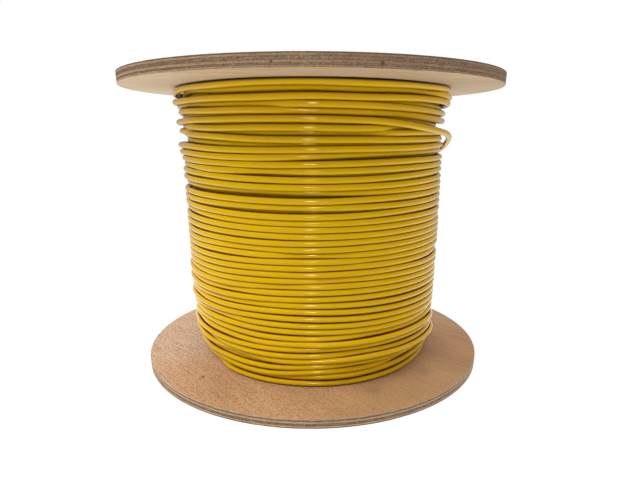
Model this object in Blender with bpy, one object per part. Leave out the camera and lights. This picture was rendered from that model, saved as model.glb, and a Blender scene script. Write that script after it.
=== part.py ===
# Plywood cable reel, wound full of yellow cable, standing on its lower flange.
# Metres, +Z up along the reel's axis, origin at the centre of the lower flange's outer face.
# The reel is two plywood flanges, each with a round groove that holds one end of a fibre drum.
# Four long bolts inside the drum, with washers above and tee nuts below, draw the flanges together.

import math

import bmesh
import bpy
import numpy as np
from mathutils import Matrix, Vector

# Flanges
FLANGE_DIAMETER = 0.3556
FLANGE_THICKNESS = 0.0095
FLANGE_ARRIS = 0.0006
TRAVERSE = 0.2575
ARBOR_DIAMETER = 0.0508

# Drum between the flanges
DRUM_DIAMETER = 0.150
DRUM_WALL = 0.005
GROOVE_DEPTH = 0.004

# Clearance between pieces that touch
GAP = 0.0003

# Tie bolts, washers and tee nuts
BOLT_COUNT = 4
BOLT_CIRCLE_RADIUS = 0.052
BOLT_RADIUS = 0.004
BOLT_TIP_CHAMFER = 0.0007
BOLT_TIP_HEIGHT = 0.0010
HEAD_RADIUS = 0.0092
HEAD_RIM = 0.0010
HEAD_HEIGHT = 0.0038
SOCKET_ACROSS_FLATS = 0.005
SOCKET_DEPTH = 0.0022
WASHER_RADIUS = 0.011
WASHER_THICKNESS = 0.0016
NUT_DISC_RADIUS = 0.011
NUT_DISC_THICKNESS = 0.0015
NUT_RECESS = 0.0005
NUT_BARREL_RADIUS = 0.0053
NUT_BARREL_LENGTH = 0.0065
PRONG_COUNT = 4
PRONG_LENGTH = 0.005
PRONG_THICKNESS = 0.0014
PRONG_WIDTH = 0.0029

# Cable: about 46 turns lie in the outer layer, and every second one of them is drawn
CABLE_DIAMETER = 0.0053
PACK_DIAMETER = 0.256
LOOPS = 23
POINTS_PER_LOOP = 24
# The turns lie level round the front, and each steps down to the next across the back
STEP_SECTOR = math.radians(105)
BACK = math.radians(90)
# One turn near the top stands loose at the right
LOOSE_LOOP = 2
LOOSE_ANGLE = math.radians(-18)
LOOSE_SPREAD = math.radians(34)
LOOSE_LIFT = 0.0062
LOOSE_DROP = 0.0075

# Start of the cable: it leaves the drum through a slanting hole and lies on the top face
START_ANGLE = math.radians(62)
START_RADIUS = 0.080
START_DEPTH = 0.0055
START_SLOPE = math.radians(35)
START_HOLE_RADIUS = 0.0055
START_BEND = 0.022
START_RUN = 0.090
START_CURL = math.radians(52)

# Outer end of the cable: it lies on the lower flange behind the winding
END_RUN = 0.062
END_BEND = 0.075
END_CURL = math.radians(50)

# Staples over the cable's two ends
STAPLE_WIRE = 0.0011
STAPLE_CLEAR = 0.0004
STAPLE_BITE = 0.006

# Facets round each kind of turned piece
FLANGE_FACETS = 72
HOLE_FACETS = 24
BOLT_FACETS = 16

FLANGE_RADIUS = FLANGE_DIAMETER / 2
DRUM_RADIUS = DRUM_DIAMETER / 2
PACK_RADIUS = PACK_DIAMETER / 2
CABLE_RADIUS = CABLE_DIAMETER / 2
LOWER_FACE = FLANGE_THICKNESS
UPPER_FACE = FLANGE_THICKNESS + TRAVERSE
REEL_HEIGHT = TRAVERSE + 2 * FLANGE_THICKNESS
SMALLEST_OWN_GAP = 0.0004


def clear_scene():
    for obj in list(bpy.data.objects):
        bpy.data.objects.remove(obj, do_unlink=True)


def make_material(name, colour, roughness, metallic=0.0):
    material = bpy.data.materials.new(name)
    material.use_nodes = True
    shader = material.node_tree.nodes["Principled BSDF"]
    shader.inputs["Base Color"].default_value = (*colour, 1.0)
    shader.inputs["Roughness"].default_value = roughness
    shader.inputs["Metallic"].default_value = metallic
    material.diffuse_color = (*colour, 1.0)
    return material


def finish_mesh(bm, name, material, sharp_degrees=35):
    """The bmesh as a mesh of its own, smooth where it is round."""
    bmesh.ops.remove_doubles(bm, verts=bm.verts, dist=0.00001)
    bmesh.ops.recalc_face_normals(bm, faces=bm.faces)
    mesh = bpy.data.meshes.new(name)
    bm.to_mesh(mesh)
    bm.free()
    mesh.shade_smooth()
    mesh.set_sharp_from_angle(angle=math.radians(sharp_degrees))
    if material:
        mesh.materials.append(material)
    return mesh


def place(name, mesh, location=(0.0, 0.0, 0.0), turn=0.0):
    obj = bpy.data.objects.new(name, mesh)
    obj.location = location
    obj.rotation_euler = (0.0, 0.0, turn)
    bpy.context.scene.collection.objects.link(obj)
    return obj


def cut(obj, cutter, name):
    """Takes the cutter's shape out of the piece and leaves the cutter as a guide."""
    cutter.hide_render = True
    cutter.display_type = "WIRE"
    hole = obj.modifiers.new(name, "BOOLEAN")
    hole.operation = "DIFFERENCE"
    hole.solver = "EXACT"
    hole.object = cutter


def turned(profile, facets):
    """A bmesh turned about Z from (radius, height) points, closed unless both ends are on the axis."""
    bm = bmesh.new()
    verts = [bm.verts.new((radius, 0.0, height)) for radius, height in profile]
    edges = [bm.edges.new(pair) for pair in zip(verts, verts[1:])]
    if profile[0][0] > 0:
        edges.append(bm.edges.new((verts[-1], verts[0])))
    bmesh.ops.spin(
        bm,
        geom=verts + edges,
        axis=(0, 0, 1),
        cent=(0, 0, 0),
        angle=math.tau,
        steps=facets,
    )
    return bm


def add_cylinder(bm, radius, low, high, centre, facets=HOLE_FACETS):
    bmesh.ops.create_cone(
        bm,
        cap_ends=True,
        segments=facets,
        radius1=radius,
        radius2=radius,
        depth=high - low,
        matrix=Matrix.Translation((centre.x, centre.y, (low + high) / 2)),
    )


def add_box(bm, size, matrix):
    bmesh.ops.create_cube(bm, size=1.0, matrix=matrix @ Matrix.Diagonal((*size, 1.0)))


def bolt_centres():
    first = math.pi / BOLT_COUNT
    for n in range(BOLT_COUNT):
        angle = first + n * math.tau / BOLT_COUNT
        yield angle, Vector((math.cos(angle), math.sin(angle), 0.0)) * BOLT_CIRCLE_RADIUS


# Flanges


def flange_profile():
    """Half section of a flange with its inner face up: arbor hole, rounded rim and drum groove."""
    groove_out = DRUM_RADIUS + GAP
    groove_in = DRUM_RADIUS - DRUM_WALL - GAP
    top = FLANGE_THICKNESS
    return [
        (ARBOR_DIAMETER / 2, 0.0),
        (FLANGE_RADIUS - FLANGE_ARRIS, 0.0),
        (FLANGE_RADIUS, FLANGE_ARRIS),
        (FLANGE_RADIUS, top - FLANGE_ARRIS),
        (FLANGE_RADIUS - FLANGE_ARRIS, top),
        (groove_out, top),
        (groove_out, top - GROOVE_DEPTH),
        (groove_in, top - GROOVE_DEPTH),
        (groove_in, top),
        (ARBOR_DIAMETER / 2, top),
    ]


def round_holes(name, radius, low, high):
    """Four plain cylinders on the bolt circle, as one cutter."""
    bm = bmesh.new()
    for _, centre in bolt_centres():
        add_cylinder(bm, radius, low, high, centre)
    return place(name, finish_mesh(bm, name, None))


def prong_pockets():
    """Slots in the lower flange that the tee nuts' prongs are driven into."""
    bm = bmesh.new()
    low = NUT_RECESS + NUT_DISC_THICKNESS / 2
    high = NUT_RECESS + NUT_DISC_THICKNESS + PRONG_LENGTH + GAP
    size = (PRONG_THICKNESS + 4 * GAP, PRONG_WIDTH + 3 * GAP, high - low)
    for angle, centre in bolt_centres():
        for n in range(PRONG_COUNT):
            way = Matrix.Rotation(angle + n * math.tau / PRONG_COUNT, 4, "Z")
            out = Vector((NUT_DISC_RADIUS - PRONG_THICKNESS / 2, 0.0, (low + high) / 2))
            add_box(bm, size, Matrix.Translation(centre) @ way @ Matrix.Translation(out))
    return place("prong_pockets", finish_mesh(bm, "prong_pockets", None))


def make_bottom_flange(plywood):
    bm = turned(flange_profile(), FLANGE_FACETS)
    flange = place("bottom_flange", finish_mesh(bm, "bottom_flange", plywood))
    bores = round_holes("nut_bores", NUT_BARREL_RADIUS + GAP, -0.002, FLANGE_THICKNESS + 0.002)
    seats = round_holes(
        "nut_seats", NUT_DISC_RADIUS + GAP, -0.002, NUT_RECESS + NUT_DISC_THICKNESS + GAP
    )
    cut(flange, bores, "bores")
    cut(flange, seats, "seats")
    cut(flange, prong_pockets(), "prongs")
    return flange


def make_top_flange(plywood):
    """The same flange turned over, on the drum's upper end."""
    bm = turned(
        [(radius, REEL_HEIGHT - height) for radius, height in flange_profile()],
        FLANGE_FACETS,
    )
    flange = place("top_flange", finish_mesh(bm, "top_flange", plywood))
    bores = round_holes("bolt_bores", BOLT_RADIUS + GAP, UPPER_FACE - 0.002, REEL_HEIGHT + 0.002)
    cut(flange, bores, "bores")
    return flange


def make_drum(fibre):
    low = LOWER_FACE - GROOVE_DEPTH + GAP
    high = UPPER_FACE + GROOVE_DEPTH - GAP
    inner = DRUM_RADIUS - DRUM_WALL
    profile = [(inner, low), (DRUM_RADIUS, low), (DRUM_RADIUS, high), (inner, high)]
    mesh = finish_mesh(turned(profile, FLANGE_FACETS), "drum_tube", fibre)
    return place("drum_tube", mesh)


# Tie bolts


def bolt_mesh(steel):
    """Round-headed bolt with its head's underside at height 0 and its shank hanging below."""
    tip = BOLT_TIP_HEIGHT - head_underside()
    crown = HEAD_HEIGHT - HEAD_RIM
    dome = []
    for degrees in (0, 25, 50, 72):
        angle = math.radians(degrees)
        dome.append((HEAD_RADIUS * math.cos(angle), HEAD_RIM + crown * math.sin(angle)))
    profile = [
        (0.0, tip),
        (BOLT_RADIUS - BOLT_TIP_CHAMFER, tip),
        (BOLT_RADIUS, tip + BOLT_TIP_CHAMFER),
        (BOLT_RADIUS, 0.0),
        (HEAD_RADIUS, 0.0),
        *dome,
        (0.0, HEAD_HEIGHT),
    ]
    return finish_mesh(turned(profile, BOLT_FACETS), "tie_bolt", steel)


def washer_underside():
    return REEL_HEIGHT + GAP


def head_underside():
    return washer_underside() + WASHER_THICKNESS + GAP


def socket_mesh():
    """Six-sided prism that sinks the driving socket into a bolt's head."""
    bm = bmesh.new()
    radius = SOCKET_ACROSS_FLATS / 2 / math.cos(math.radians(30))
    add_cylinder(bm, radius, HEAD_HEIGHT - SOCKET_DEPTH, HEAD_HEIGHT + 0.002, Vector(), 6)
    return finish_mesh(bm, "socket", None)


def washer_mesh(steel):
    inner = BOLT_RADIUS + GAP
    profile = [
        (inner, 0.0),
        (WASHER_RADIUS, 0.0),
        (WASHER_RADIUS, WASHER_THICKNESS),
        (inner, WASHER_THICKNESS),
    ]
    return finish_mesh(turned(profile, HOLE_FACETS), "washer", steel)


def tee_nut_mesh(steel):
    """Flat disc and barrel, with prongs drawn up out of the disc's edge."""
    inner = BOLT_RADIUS + GAP
    ring = NUT_DISC_RADIUS - PRONG_THICKNESS
    profile = [
        (inner, 0.0),
        (NUT_DISC_RADIUS, 0.0),
        (NUT_DISC_RADIUS, NUT_DISC_THICKNESS),
        (ring, NUT_DISC_THICKNESS),
        (NUT_BARREL_RADIUS, NUT_DISC_THICKNESS),
        (NUT_BARREL_RADIUS, NUT_DISC_THICKNESS + NUT_BARREL_LENGTH),
        (inner, NUT_DISC_THICKNESS + NUT_BARREL_LENGTH),
    ]
    bm = turned(profile, HOLE_FACETS)
    bmesh.ops.remove_doubles(bm, verts=bm.verts, dist=0.00001)
    facet = math.tau / HOLE_FACETS
    prongs = []
    for face in bm.faces:
        middle = face.calc_center_median()
        angle = (math.atan2(middle.y, middle.x) - facet / 2) % (math.tau / PRONG_COUNT)
        on_rim = abs(middle.z - NUT_DISC_THICKNESS) < 1e-5 and middle.xy.length > ring
        if on_rim and min(angle, math.tau / PRONG_COUNT - angle) < facet / 4:
            prongs.append(face)
    raised = bmesh.ops.extrude_discrete_faces(bm, faces=prongs)["faces"]
    tops = {vert for face in raised for vert in face.verts}
    bmesh.ops.translate(bm, verts=list(tops), vec=(0.0, 0.0, PRONG_LENGTH))
    return finish_mesh(bm, "tee_nut", steel)


def make_fasteners(steel):
    bolt = bolt_mesh(steel)
    socket = socket_mesh()
    washer = washer_mesh(steel)
    nut = tee_nut_mesh(steel)
    half_facet = math.pi / HOLE_FACETS
    for n, (angle, centre) in enumerate(bolt_centres(), 1):
        at = (centre.x, centre.y)
        one_bolt = place(f"tie_bolt_{n}", bolt, (*at, head_underside()), angle)
        cut(one_bolt, place(f"socket_{n}", socket, (*at, head_underside()), angle), "socket")
        place(f"washer_{n}", washer, (*at, washer_underside()), angle)
        place(f"tee_nut_{n}", nut, (*at, NUT_RECESS), angle - half_facet)


# Cable


def eased(part):
    """0 to 1 with a soft start and a soft end."""
    part = min(max(part, 0.0), 1.0)
    return part * part * (3 - 2 * part)


def walk(start, yaw, moves, step=2 * CABLE_DIAMETER):
    """Points of a soft route. Each move is a length, a turn to the left and a turn upwards."""
    points = [Vector(start)]
    slope = 0.0
    for length, left, up in moves:
        steps = max(2, math.ceil(length / step)) if left or up else math.ceil(length / step)
        for n in range(steps):
            part = eased((n + 0.5) / steps)
            way, rise = yaw + left * part, slope + up * part
            level = math.cos(rise)
            ahead = Vector((level * math.cos(way), level * math.sin(way), math.sin(rise)))
            points.append(points[-1] + ahead * length / steps)
        yaw += left
        slope += up
    return points


def tube(name, points, material, radius=CABLE_RADIUS, resolution=1):
    """Round tube with filled ends along the points."""
    curve = bpy.data.curves.new(name, "CURVE")
    curve.dimensions = "3D"
    curve.bevel_depth = radius
    curve.bevel_resolution = resolution
    curve.use_fill_caps = True
    spline = curve.splines.new("POLY")
    spline.points.add(len(points) - 1)
    for point, place_of in zip(spline.points, points):
        point.co = (*place_of, 1.0)
    spline.use_smooth = True
    if material:
        curve.materials.append(material)
    obj = bpy.data.objects.new(name, curve)
    bpy.context.scene.collection.objects.link(obj)
    return obj


def tube_as_cutter(name, points, radius):
    """The same round tube as a mesh, to be taken out of a neighbour."""
    guide = tube(name + "_guide", points, None, radius)
    mesh = bpy.data.meshes.new_from_object(guide)
    bpy.data.objects.remove(guide, do_unlink=True)
    return place(name, mesh)


def outer_layer_points():
    """Level loops that step down at the back, then the free end lying on the lower flange."""
    radius = PACK_RADIUS - CABLE_RADIUS
    highest = UPPER_FACE - GAP - CABLE_RADIUS
    lowest = LOWER_FACE + GAP + CABLE_RADIUS
    drop = (highest - lowest) / (LOOPS - 1)
    begin = BACK + STEP_SECTOR / 2
    level_part = 1 - STEP_SECTOR / math.tau
    facet = math.tau / POINTS_PER_LOOP
    count = int((LOOPS - 1 + level_part) * POINTS_PER_LOOP)
    points = []
    for n in range(count + 1):
        loop, part = divmod(n / POINTS_PER_LOOP, 1.0)
        angle = begin + n * facet
        stepped = eased((part - level_part) / (1 - level_part))
        height = highest - drop * (loop + stepped)
        out = radius
        if loop == LOOSE_LOOP:
            away = (angle - LOOSE_ANGLE + math.pi) % math.tau - math.pi
            swell = math.exp(-((away / LOOSE_SPREAD) ** 2))
            out += LOOSE_LIFT * swell
            height -= LOOSE_DROP * swell
        points.append(Vector((out * math.cos(angle), out * math.sin(angle), height)))
    heading = angle + math.pi / 2
    end = walk(
        points[-1],
        heading,
        [
            (END_RUN, math.radians(12), 0.0),
            (END_BEND, END_CURL, 0.0),
            (2 * CABLE_DIAMETER, 0.0, 0.0),
        ],
    )
    return points, end


def start_tail_points():
    """Out of the winding beside the drum, up the slanting hole and along the top face."""
    low = UPPER_FACE - START_DEPTH
    high = REEL_HEIGHT + GAP + CABLE_RADIUS
    bend_points = walk(Vector(), 0.0, [(START_BEND, 0.0, START_SLOPE)])
    bend_rise = bend_points[-1].z
    slant = (high - low - 2 * bend_rise) / math.sin(START_SLOPE)
    start = Vector((math.cos(START_ANGLE), math.sin(START_ANGLE), 0.0)) * START_RADIUS
    start.z = low
    inside = [(CABLE_DIAMETER, 0.0, 0.0), (START_BEND, 0.0, START_SLOPE), (slant, 0.0, 0.0)]
    outside = [
        (START_BEND, 0.0, -START_SLOPE),
        (START_RUN, START_CURL, 0.0),
        (2 * CABLE_DIAMETER, 0.0, 0.0),
    ]
    yaw = START_ANGLE + math.pi / 2
    return walk(start, yaw, inside), walk(start, yaw, inside + outside)


def make_inner_layers(jacket, pocket_route):
    """Everything under the outer layer, as one plain ring round the drum."""
    facet = math.tau / POINTS_PER_LOOP
    flat = (PACK_RADIUS - CABLE_RADIUS) * math.cos(facet / 2)
    outer = flat - CABLE_RADIUS - GAP
    inner = DRUM_RADIUS + GAP
    low = LOWER_FACE + GAP
    high = UPPER_FACE - GAP
    profile = [(inner, low), (outer, low), (outer, high), (inner, high)]
    mesh = finish_mesh(turned(profile, FLANGE_FACETS), "cable_inner_layers", jacket)
    core = place("cable_inner_layers", mesh)
    back = (pocket_route[0] - pocket_route[1]).normalized() * GAP
    route = [pocket_route[0] + back, *pocket_route[1:]]
    cut(core, tube_as_cutter("start_pocket", route, CABLE_RADIUS + GAP), "pocket")
    return core


def cut_start_hole(flange, route):
    """Slanting hole that the cable's start comes through."""
    way = (route[-1] - route[-2]).normalized()
    middle = route[-1] + way * ((UPPER_FACE + REEL_HEIGHT) / 2 - route[-1].z) / way.z
    bm = bmesh.new()
    bmesh.ops.create_cone(
        bm,
        cap_ends=True,
        segments=HOLE_FACETS,
        radius1=START_HOLE_RADIUS,
        radius2=START_HOLE_RADIUS,
        depth=5 * FLANGE_THICKNESS,
        matrix=Matrix.Translation(middle) @ way.to_track_quat("Z", "Y").to_matrix().to_4x4(),
    )
    cut(flange, place("start_hole", finish_mesh(bm, "start_hole", None)), "start hole")


def staple_mesh(steel):
    """Wire staple astride the cable along X, with its crown up and the flange's face at height 0."""
    inner = CABLE_RADIUS + STAPLE_CLEAR
    outer = inner + STAPLE_WIRE
    under = GAP + CABLE_DIAMETER + GAP
    top = under + STAPLE_WIRE
    corner = STAPLE_WIRE / 2
    outline = [
        (inner, -STAPLE_BITE),
        (outer, -STAPLE_BITE),
        (outer, top - corner),
        (outer - corner, top),
        (corner - outer, top),
        (-outer, top - corner),
        (-outer, -STAPLE_BITE),
        (-inner, -STAPLE_BITE),
        (-inner, under),
        (inner, under),
    ]
    bm = bmesh.new()
    face = bm.faces.new([bm.verts.new((-STAPLE_WIRE / 2, y, z)) for y, z in outline])
    swept = bmesh.ops.extrude_face_region(bm, geom=[face])["geom"]
    verts = [item for item in swept if isinstance(item, bmesh.types.BMVert)]
    bmesh.ops.translate(bm, verts=verts, vec=(STAPLE_WIRE, 0.0, 0.0))
    return finish_mesh(bm, "staple", steel)


def leg_slots_mesh():
    """Two slots that clear a staple's legs."""
    bm = bmesh.new()
    side = STAPLE_WIRE + 2 * GAP
    depth = STAPLE_BITE + GAP + 0.002
    across = CABLE_RADIUS + STAPLE_CLEAR + STAPLE_WIRE / 2
    for y in (-across, across):
        middle = Matrix.Translation((0.0, y, 0.002 - depth / 2))
        add_box(bm, (side, side, depth), middle)
    return finish_mesh(bm, "leg_slots", None)


def make_staples(steel, spots):
    """Each spot is a flange, two neighbouring points of the cable on it and the face's height."""
    staple = staple_mesh(steel)
    slots = leg_slots_mesh()
    for n, (flange, before, after, face) in enumerate(spots, 1):
        along = after - before
        turn = math.atan2(along.y, along.x)
        at = ((before.x + after.x) / 2, (before.y + after.y) / 2, face)
        place(f"staple_{n}", staple, at, turn)
        cut(flange, place(f"leg_slots_{n}", slots, at, turn), f"staple {n}")


def least_gap(points, diameter, skip, finer=4):
    """Smallest clear distance between stretches of one tube, on points."""
    route = np.array(points)
    steps = np.linspace(0, len(route) - 1, (len(route) - 1) * finer + 1)
    whole = np.arange(len(route))
    spots = np.stack([np.interp(steps, whole, route[:, axis]) for axis in range(3)], axis=1)
    apart = np.linalg.norm(spots[:, None] - spots[None], axis=2)
    index = np.arange(len(spots))
    other = abs(index[:, None] - index[None]) >= skip * finer
    return apart[other].min() - diameter


def make_cable(jacket, steel, bottom_flange, top_flange):
    layer, end = outer_layer_points()
    inside, tail = start_tail_points()
    make_inner_layers(jacket, inside)
    route = layer + end[1:]
    tube("cable_outer_layer", route, jacket)
    tube("cable_start_tail", tail, jacket)
    cut_start_hole(top_flange, inside)
    make_staples(
        steel,
        [
            (top_flange, tail[-9], tail[-8], REEL_HEIGHT),
            (top_flange, tail[-3], tail[-2], REEL_HEIGHT),
            (bottom_flange, end[-3], end[-2], LOWER_FACE),
        ],
    )
    gap = least_gap(route, CABLE_DIAMETER, POINTS_PER_LOOP // 2)
    print(f"cable_outer_layer: {LOOPS} loops, least gap to itself {gap * 1000:.2f} mm")
    if gap <= SMALLEST_OWN_GAP:
        raise ValueError("the outer layer's turns come too close together")


def main():
    clear_scene()
    plywood = make_material("plywood", (0.50, 0.33, 0.20), 0.62)
    fibre = make_material("drum fibre", (0.42, 0.29, 0.17), 0.85)
    steel = make_material("zinc-plated steel", (0.62, 0.62, 0.60), 0.34, metallic=1.0)
    jacket = make_material("yellow jacket", (0.72, 0.47, 0.012), 0.32)
    bottom_flange = make_bottom_flange(plywood)
    top_flange = make_top_flange(plywood)
    make_drum(fibre)
    make_fasteners(steel)
    make_cable(jacket, steel, bottom_flange, top_flange)


main()
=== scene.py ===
import math

import bpy
import numpy as np
from mathutils import Matrix, Vector, noise


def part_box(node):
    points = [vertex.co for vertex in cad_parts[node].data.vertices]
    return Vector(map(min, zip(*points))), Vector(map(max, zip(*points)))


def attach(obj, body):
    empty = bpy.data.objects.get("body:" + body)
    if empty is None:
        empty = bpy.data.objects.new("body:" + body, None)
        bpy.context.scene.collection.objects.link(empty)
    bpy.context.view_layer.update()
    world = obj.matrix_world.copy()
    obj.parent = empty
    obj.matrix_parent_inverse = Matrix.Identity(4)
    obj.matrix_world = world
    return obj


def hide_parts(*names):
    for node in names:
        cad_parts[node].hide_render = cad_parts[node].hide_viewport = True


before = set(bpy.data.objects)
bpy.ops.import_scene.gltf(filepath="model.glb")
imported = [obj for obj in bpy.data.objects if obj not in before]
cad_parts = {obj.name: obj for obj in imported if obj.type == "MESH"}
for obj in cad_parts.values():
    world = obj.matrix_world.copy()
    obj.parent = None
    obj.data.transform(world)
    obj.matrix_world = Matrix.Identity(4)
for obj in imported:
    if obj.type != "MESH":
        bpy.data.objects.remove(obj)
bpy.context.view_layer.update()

mm = 0.001
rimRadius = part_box("bottom_flange")[1].x
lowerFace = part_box("bottom_flange")[1].z
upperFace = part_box("top_flange")[0].z
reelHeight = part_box("top_flange")[1].z
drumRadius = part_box("drum_tube")[1].x
clear = 0.3 * mm   # what touching pieces keep between them
beyond = 2 * mm   # how far a cutter reaches out past the face that it cuts
weld = 0.001 * mm   # corners nearer than this are one
print("frame loaded, reel", round(2 * rimRadius / mm, 1), "by", round(reelHeight / mm, 1), "mm")


# modelling tools

def deselectAll():
    bpy.ops.object.select_all(action="DESELECT")


def pick(obj):
    deselectAll()
    obj.select_set(True)
    bpy.context.view_layer.objects.active = obj


def linked(name, data):
    obj = bpy.data.objects.new(name, data)
    bpy.context.scene.collection.objects.link(obj)
    return obj


def remove(obj):
    bpy.data.objects.remove(obj, do_unlink=True)


def settleInMesh(obj):
    # the piece gets its place in its mesh and its object at the origin
    pick(obj)
    bpy.ops.object.transform_apply(location=True, rotation=True, scale=True)
    return obj


def smoothByAngle(obj, degrees):
    pick(obj)
    bpy.ops.object.shade_smooth_by_angle(angle=math.radians(degrees))
    return obj


def coated(obj, finish):
    obj.data.materials.append(finish)
    return smoothByAngle(obj, 35)


def applyModifier(obj, kind, **settings):
    pick(obj)
    modifier = obj.modifiers.new(kind.title(), kind)
    for key, value in settings.items():
        setattr(modifier, key, value)
    bpy.ops.object.modifier_apply(modifier=modifier.name)


def takeOut(obj, cutter):
    applyModifier(obj, "BOOLEAN", operation="DIFFERENCE", solver="EXACT", object=cutter)
    remove(cutter)


def joinPieces(pieces, name):
    deselectAll()
    for obj in pieces:
        obj.select_set(True)
    bpy.context.view_layer.objects.active = pieces[0]
    bpy.ops.object.join()
    pieces[0].name = pieces[0].data.name = name
    return settleInMesh(pieces[0])


def drawOutline(name, points):
    # one corner, drawn out from point to point and back to the first, left in edit mode
    deselectAll()
    bpy.ops.mesh.primitive_plane_add(size=1 * mm, location=(0, 0, 0))
    obj = bpy.context.object
    obj.name = obj.data.name = name
    bpy.ops.object.mode_set(mode="EDIT")
    bpy.ops.mesh.select_all(action="SELECT")
    bpy.ops.mesh.merge(type="CENTER")
    points = [Vector(point) for point in points]
    bpy.ops.transform.translate(value=points[0])
    for before, after in zip(points, points[1:] + points[:1]):
        bpy.ops.mesh.extrude_vertices_move(TRANSFORM_OT_translate={"value": after - before})
    bpy.ops.mesh.select_all(action="SELECT")
    bpy.ops.mesh.remove_doubles(threshold=weld)
    return obj


def turnProfile(name, profile, steps):
    # half section of radius and height, spun round the reel's axis and closed
    obj = drawOutline(name, [(radius, 0, height) for radius, height in profile])
    bpy.ops.mesh.spin(steps=steps, angle=math.tau, center=(0, 0, 0), axis=(0, 0, 1))
    closeMesh()
    return obj


def closeMesh():
    bpy.ops.mesh.select_all(action="SELECT")
    bpy.ops.mesh.remove_doubles(threshold=weld)
    bpy.ops.mesh.normals_make_consistent(inside=False)
    bpy.ops.object.mode_set(mode="OBJECT")


def plateFromOutline(name, points, thickness):
    # flat outline in the YZ plane, drawn out along X to both sides
    obj = drawOutline(name, [(-thickness / 2, y, z) for y, z in points])
    bpy.ops.mesh.edge_face_add()
    bpy.ops.mesh.extrude_region_move(TRANSFORM_OT_translate={"value": (thickness, 0, 0)})
    closeMesh()
    return obj


def copyOf(obj, name, place):
    twin = obj.copy()
    twin.data = obj.data.copy()
    twin.name = twin.data.name = name
    bpy.context.scene.collection.objects.link(twin)
    twin.data.transform(place)
    return twin


def finishPiece(obj, slot, *nodes):
    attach(obj, "root")
    if nodes:
        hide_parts(*nodes)


def selectFaces(obj, wanted):
    # leaves the piece in edit mode with the wanted faces selected
    pick(obj)
    bpy.ops.object.mode_set(mode="EDIT")
    bpy.ops.mesh.select_mode(type="FACE")
    bpy.ops.mesh.select_all(action="DESELECT")
    bpy.ops.object.mode_set(mode="OBJECT")
    for polygon in obj.data.polygons:
        polygon.select = wanted(polygon)
    bpy.ops.object.mode_set(mode="EDIT")


def leaveEditing():
    bpy.ops.mesh.select_mode(type="VERT")
    bpy.ops.object.mode_set(mode="OBJECT")


def block(middle, size, turn=0.0):
    bpy.ops.mesh.primitive_cube_add(size=1, location=middle, rotation=(0, 0, turn), scale=size)
    return bpy.context.object


def polar(radius, angle, height=0.0):
    return Vector((radius * math.cos(angle), radius * math.sin(angle), height))


def eased(part):
    part = np.clip(part, 0.0, 1.0)
    return part * part * (3 - 2 * part)


def walk(start, yaw, moves, step=3.5 * mm):
    # points of a soft route: each move is a length, a turn to the left and a turn upwards
    points = [Vector(start)]
    slope = 0.0
    for length, left, up in moves:
        steps = math.ceil(length / step)
        for n in range(steps):
            part = float(eased((n + 0.5) / steps))
            way, rise = yaw + left * part, slope + up * part
            level = math.cos(rise)
            ahead = Vector((level * math.cos(way), level * math.sin(way), math.sin(rise)))
            points.append(points[-1] + ahead * length / steps)
        yaw += left
        slope += up
    return points


def headingOf(route):
    return (route[-1] - route[-2]).normalized()


def tubePiece(name, points, across, sides, finish, smooth=True):
    # a round tube along the points, turned into a mesh
    curve = bpy.data.curves.new(name, "CURVE")
    curve.dimensions = "3D"
    curve.twist_mode = "Z_UP"
    curve.bevel_depth = across / 2
    curve.bevel_resolution = (sides - 4) // 2
    curve.use_fill_caps = True
    spline = curve.splines.new("POLY")
    spline.points.add(len(points) - 1)
    spline.points.foreach_set("co", [value for point in points for value in (*point, 1.0)])
    if finish:
        curve.materials.append(finish)
    obj = linked(name, curve)
    pick(obj)
    bpy.ops.object.convert(target="MESH")
    obj.data.name = name
    if smooth:
        smoothByAngle(obj, 40)
    return obj


# material tools

making = {}   # the node tree that the next nodes go into


def startTree(owner):
    owner.use_nodes = True
    making["tree"] = owner.node_tree
    return owner.node_tree


def newMaterial(name):
    material = bpy.data.materials.new(name)
    shader = startTree(material).nodes["Principled BSDF"]
    return material, shader, addNode("TexCoord").outputs["Object"]


def put(socket, value):
    # a socket is joined, anything else is set as a constant
    if isinstance(value, bpy.types.NodeSocket):
        socket.id_data.links.new(value, socket)
    elif isinstance(value, tuple) and len(value) == 3 and socket.type == "RGBA":
        socket.default_value = (*value, 1.0)
    else:
        socket.default_value = value


def setSockets(node, values):
    for name, value in values.items():
        put(node.inputs[name], value)


def addNode(kind, settings=None, **inputs):
    made = making["tree"].nodes.new("ShaderNode" + kind)
    for key, value in (settings or {}).items():
        setattr(made, key, value)
    setSockets(made, inputs)
    return made


def calculate(kind, operation, values):
    made = addNode(kind, {"operation": operation})
    for socket, value in zip(made.inputs, values):
        put(socket, value)
    return made


def maths(operation, *values):
    return calculate("Math", operation, values).outputs[0]


def measure(operation, *vectors):
    # a length, distance or dot product
    return calculate("VectorMath", operation, vectors).outputs["Value"]


def stretch(vector, *sizes):
    return calculate("VectorMath", "MULTIPLY", (vector, sizes)).outputs[0]


def along(axis, vector):
    return addNode("SeparateXYZ", Vector=vector).outputs[axis]


def noiseAt(vector, perMetre, detail=2.0, roughness=0.5):
    made = addNode("TexNoise", Vector=vector, Scale=perMetre, Detail=detail, Roughness=roughness)
    return made.outputs["Fac"]


def rescale(value, low, high, toLow=0.0, toHigh=1.0):
    made = addNode("MapRange")
    for socket, item in zip(made.inputs, (value, low, high, toLow, toHigh)):
        put(socket, item)
    return made.outputs[0]


def blend(factor, a, b, way="MIX"):
    made = addNode("Mix", {"data_type": "RGBA", "blend_type": way})
    for at, value in ((0, factor), (6, a), (7, b)):
        put(made.inputs[at], value)
    return made.outputs[2]


def tint(base, colour, mask, low, high, toLow=0.0, toHigh=1.0):
    return blend(rescale(mask, low, high, toLow, toHigh), base, colour)


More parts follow.
